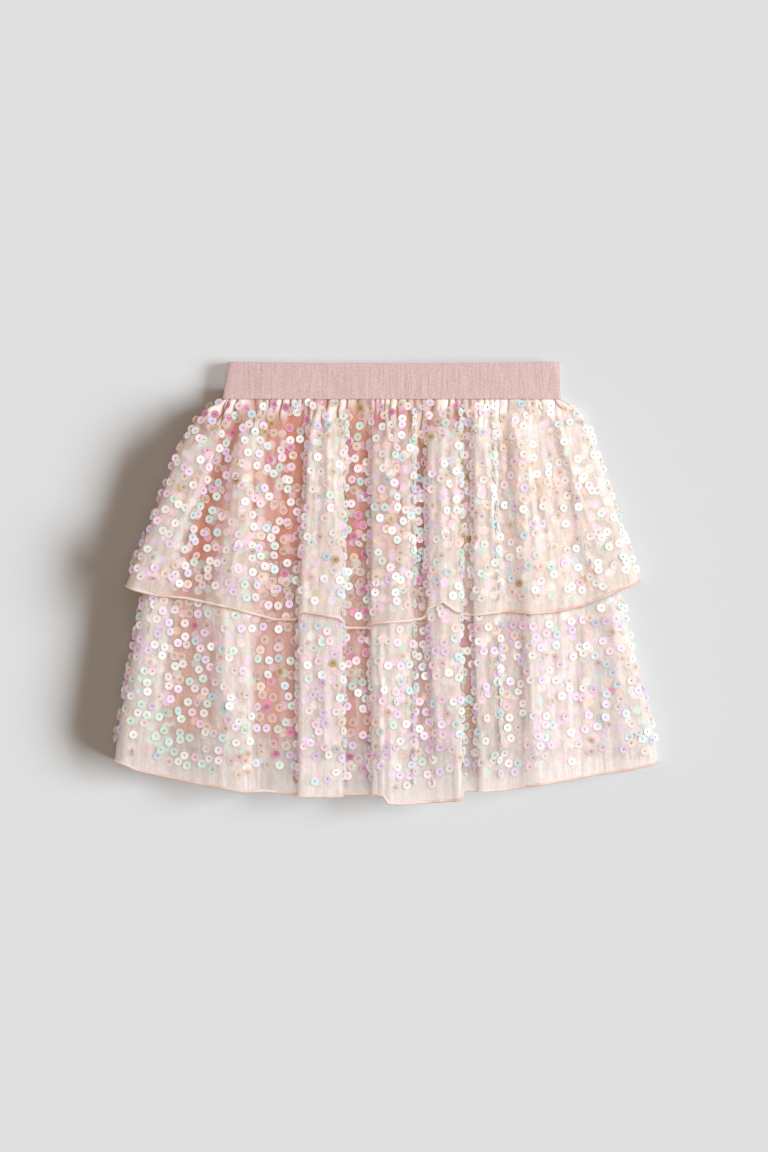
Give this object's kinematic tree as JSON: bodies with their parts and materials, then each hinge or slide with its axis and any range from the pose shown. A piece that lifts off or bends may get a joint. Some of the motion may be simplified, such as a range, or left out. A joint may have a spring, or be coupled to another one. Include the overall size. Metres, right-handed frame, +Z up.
{
  "type": "sequinned two-tier tulle skirt, laid flat",
  "caption": "Child's gathered tulle skirt in two sequinned tiers over a plain lining, with a wide elastic waistband, lying flat on its back.",
  "frame": {"origin": "on the table under the middle of the skirt's outline", "axes": "+X to the right across the front, +Y towards the waistband, +Z up off the table, out of the front"},
  "size_m": [0.3927, 0.3185, 0.0211],
  "materials": {
    "elastic": "dusty pink ribbed elastic, matt",
    "tulle": "sheer cream and peach tulle",
    "lining": "plain terracotta pink lining, matt",
    "sequins": "clear cupped sequins with a pearly sheen in mint, lilac, pink and gold",
    "thread": "peach overlock thread, satin"
  },
  "bodies": {
    "root": {"waistband": "elastic", "upper_tier_front": "tulle", "upper_tier_back": "tulle", "lower_tier_front": "tulle", "lower_tier_back": "tulle", "lining_front": "lining", "lining_back": "lining"}
  },
  "joints": []
}
